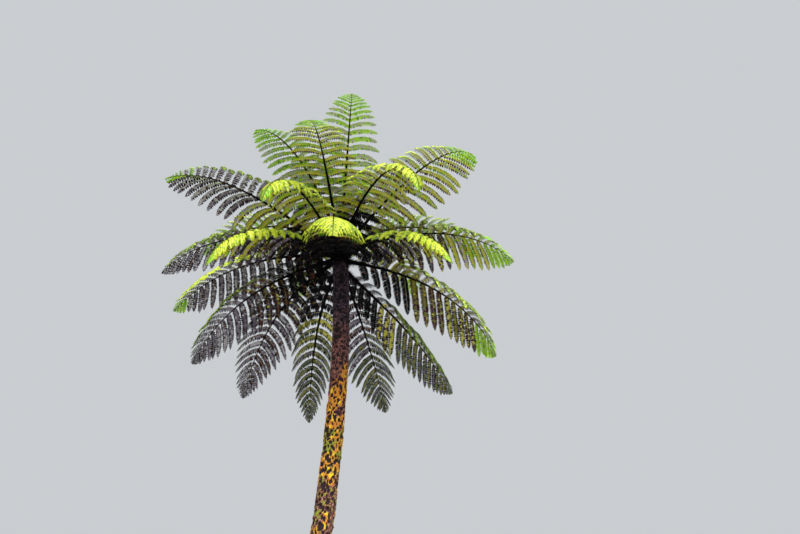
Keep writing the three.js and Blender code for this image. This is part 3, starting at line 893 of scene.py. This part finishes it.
def leaflet_line(frond, share, hand, place, along, rng):
    """Points along a leaflet's rib in equal steps, its length, and its angle with the frond's rib"""
    side = unit(np.cross(along, UP))
    slope = math.degrees(math.asin(along[2]))
    sweep = TIP_SWEEP * share**SWEEP_POWER
    angle = np.radians(LEAFLET_ANGLE + ANGLE_GAIN * slope - sweep + rng.normal(0, ANGLE_SPREAD))
    outward = along * np.cos(angle) + side * hand * np.sin(angle)
    portion = leaflet_reach(share) * varied(rng, REACH_SPREAD)
    reach = frond.reach * portion
    rise = frond.lift + math.degrees(math.asin(outward[2])) + RISE_GAIN * min(slope, 0)
    rise += rng.normal(0, LIFT_SPREAD)
    bend = frond.hang * portion**HANG_POWER * varied(rng, HANG_SPREAD)
    u = (np.arange(LEAFLET_STEPS) + 0.5) / LEAFLET_STEPS
    fall = np.radians(np.maximum(rise - bend * u, -STEEPEST))
    level = unit(outward * (1, 1, 0))
    ways = level * np.cos(fall)[:, None] + UP * np.sin(fall)[:, None]
    line = np.concatenate([place[None], place + np.cumsum(ways * reach / LEAFLET_STEPS, 0)])
    return line, reach, angle


def add_leaflet_rib(ribs, frond, share, line, along):
    radii = lerp(LEAFLET_RIB_RADIUS, LEAFLET_RIB_TIP, np.linspace(0, 1, len(line)))
    under = frond.inner if share < OUTER_SHARE else frond.outer
    # a leaflet near the hub gets a rib of painted shade
    finish = RIB_NAMES.index(LEAFLET_RIB_FINISH[under] if share > SHADED_SHARE else "rib_painted_shade")
    ribs.add(*tube(line, radii, LEAFLET_RIB_SIDES, ups=along), finish)


def blade_lengths(frond, share, room, u, rng):
    """Lengths of the blades at shares u of a leaflet; room is its distance from the next leaflet"""
    tapered = (1 - u**BLADE_TAPER_POWER) ** BLADE_TAPER_ROUNDNESS
    profile = tapered * lerp(FIRST_BLADE, 1, np.clip(u / FIRST_BLADES_SHARE, 0, 1))
    length = BLADE_REACH * (1 - YOUNG_BLADE_LOSS * frond_youth(frond)) * room * profile
    fullness = 1 + TIP_FULLNESS * share**FULLNESS_POWER
    return length * fullness * varied(rng, BLADE_LENGTH_SPREAD, len(u))


def add_leaflet(leaves, ribs, frond, share, hand, gap, rib, rng):
    """One leaflet on the side of the rib that hand gives, with its own rib and its two rows of blades"""
    (place,), (along,) = along_line(rib, [share])
    line, reach, angle = leaflet_line(frond, share, hand, place, along, rng)
    add_leaflet_rib(ribs, frond, share, line, along)

    count = max(FEWEST_BLADES, round(reach / BLADE_SPACING))
    row = np.repeat([1, -1], count)
    u = (np.tile(np.arange(count), 2) + BLADE_START + BLADE_STAGGER * row) / count
    spot, way = along_line(line, u)
    across = unit(along - (way @ along)[:, None] * way)
    over = -hand * np.cross(across, way)
    turn = BLADE_ANGLE - BLADE_ANGLE_LOSS * u + rng.normal(0, BLADE_ANGLE_SPREAD, len(u))
    lean = np.radians(turn)[:, None]
    out = unit(way * np.cos(lean) + across * row[:, None] * np.sin(lean))
    length = blade_lengths(frond, share, gap * np.sin(angle), u, rng)
    droop = BLADE_DROOP * varied(rng, BLADE_DROOP_SPREAD, len(u))
    points, triangles = blades(spot, out, over, length, reach / count, droop)
    leaves.add(points, triangles, spray_finishes(frond, share, len(points), rng).ravel())


def add_stalk(stalks, rib):
    points, triangles = tube(rib, stalk_radius(np.linspace(0, 1, len(rib))), STALK_SIDES)
    middle = points[triangles].mean(1)
    reach = np.linalg.norm(middle - rib[0], axis=1) / np.linalg.norm(rib[-1] - rib[0])
    stalks.add(points, triangles, np.digitize(reach, STALK_CHANGES))


def add_frond(leaves, stalks, ribs, frond, number):
    rng = np.random.default_rng(FROND_SEED + number)
    rib = rib_points(frond)
    add_stalk(stalks, rib)
    shares = pair_shares()
    gaps = np.append(np.diff(shares), shares[-1] - shares[-2])
    for share, gap in zip(shares, gaps):
        for hand in (1, -1):
            place = min(share + rng.normal(0, PLACE_SPREAD) * gap, OUTERMOST)
            add_leaflet(leaves, ribs, frond, place, hand, gap * frond.length, rib, rng)


def node_names(numbers):
    return [f"frond_{n + 1:02d}_{part}" for n in numbers for part in ("lower", "outer")]


def build_fronds():
    leaf_materials = [leaf_material(name) for name in LEAF_NAMES]
    stalk_materials = [stalk_material(*finish) for finish in STALK_FINISHES]
    rib_materials = [stalk_material(name, RIB_COLOURS[name], RIB_ROUGHNESS) for name in RIB_NAMES]
    stalks = Pile()
    ribs = Pile()
    for first in range(0, len(FRONDS), FRONDS_PER_PIECE):
        numbers = range(first, min(first + FRONDS_PER_PIECE, len(FRONDS)))
        leaves = Pile()
        for number in numbers:
            add_frond(leaves, stalks, ribs, FRONDS[number], number)
        piece = leaves.piece(f"leaves_{first // FRONDS_PER_PIECE + 1}", leaf_materials, False)
        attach(piece, "root")
        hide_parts(*node_names(numbers))
    for name, pile, materials in (("stalks", stalks, stalk_materials), ("leaflet_ribs", ribs, rib_materials)):
        piece = pile.piece(name, materials, True)
        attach(piece, "root")
        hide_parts(*node_names(range(len(FRONDS))))


# Heart and scales


def scales(place, way, over, reach):
    """Narrow pointed scales of three sides that curl up"""
    across = np.cross(over, way)
    wide = SCALE_WIDTH / 2
    reach = reach[:, None]
    corners = []
    for s, w, curl in SCALE_RINGS:
        middle = place + reach * (s * way + curl * over)
        corners += [middle - across * wide * w, middle + across * wide * w]
        corners.append(middle + over * wide * SCALE_RIDGE * w)
    tip = place + reach * (way + SCALE_CURL * over)
    points = np.stack(corners + [tip], 1)
    sides = []
    for i in range(3):
        j = (i + 1) % 3
        sides += [(i, j, 3 + j), (i, 3 + j, 3 + i), (3 + i, 3 + j, 6)]
    return points, repeated(np.array([(0, 2, 1)] + sides), points)


def add_coat(pile, coat, place, climb, out, facing, rng):
    """Scales that point along climb and lean towards out, with their upper sides facing one way"""
    way = unit(climb + coat.lean * out + rng.normal(0, coat.spread, place.shape))
    over = unit(facing - way * (facing * way).sum(1, keepdims=True))
    reach = SCALE_LENGTH * rng.uniform(coat.shortest, coat.longest, coat.count)
    pile.add(*scales(place - out * coat.sunk, way, over, reach), 0)


def add_heart(pile, rng):
    """A rounded dome on top of the trunk, and scales that climb it"""
    crown = trunk_centre(TRUNK_TOP)
    radius = trunk_radius(TRUNK_TOP)
    size = [radius, radius, HEART_HEIGHT]
    rises = np.pi / 2 * np.arange(DOME_RINGS + 1) / (DOME_RINGS + 1)
    turns = 2 * np.pi * np.arange(DOME_SIDES) / DOME_SIDES
    dome = crown + towards(*np.meshgrid(rises, turns, indexing="ij")) * size
    ends = [crown, crown + UP * HEART_HEIGHT]
    pile.add(np.concatenate([dome.reshape(-1, 3), ends]), closed_body(ring_grid(len(rises), DOME_SIDES)), 0)

    rise = np.arcsin(rng.uniform(0, 1, HEART_COAT.count))
    out = towards(rise, rng.uniform(0, 2 * np.pi, HEART_COAT.count))
    climb = unit(UP - out * out[:, 2:] + NEAR_ZERO)
    add_coat(pile, HEART_COAT, crown + out * size, climb, out, out, rng)


def add_collar(pile, rng):
    """Scales round the trunk between the stalks"""
    z = rng.uniform(COLLAR_FOOT, TRUNK_TOP, COLLAR_COAT.count)
    out = towards(np.zeros_like(z), rng.uniform(0, 2 * np.pi, COLLAR_COAT.count))
    place = trunk_centre(z) + out * trunk_radius(z)[:, None]
    add_coat(pile, COLLAR_COAT, place, UP * COLLAR_CLIMB, out, UP, rng)


def add_stalk_scales(pile, frond, rng):
    """Scales on a stalk, thickest where it leaves the trunk"""
    rib = rib_points(frond)
    inside = trunk_radius(rib[0, 2])
    foot = inside / (frond.length + inside)
    share = foot + rng.uniform(0, SCALY_SHARE, STALK_COAT.count) ** SCALY_POWER
    spot, along = along_line(rib, share)
    side = unit(np.cross(along, UP))
    top = np.cross(side, along)
    turn = rng.uniform(0, 2 * np.pi, STALK_COAT.count)[:, None]
    out = side * np.cos(turn) + top * np.sin(turn)
    place = spot + out * stalk_radius(share)[:, None]
    add_coat(pile, STALK_COAT, place, along, out, out, rng)


def build_heart():
    rng = np.random.default_rng(SCALE_SEED)
    pile = Pile()
    add_heart(pile, rng)
    add_collar(pile, rng)
    for frond in FRONDS:
        add_stalk_scales(pile, frond, rng)
    heart = pile.piece("heart_scales", [stalk_material("scales", SCALE_COLOUR, SCALE_ROUGHNESS)], False)
    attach(heart, "root")
    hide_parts("crown_heart")


add_camera()
add_studio()
build_trunk()
build_fronds()
build_heart()
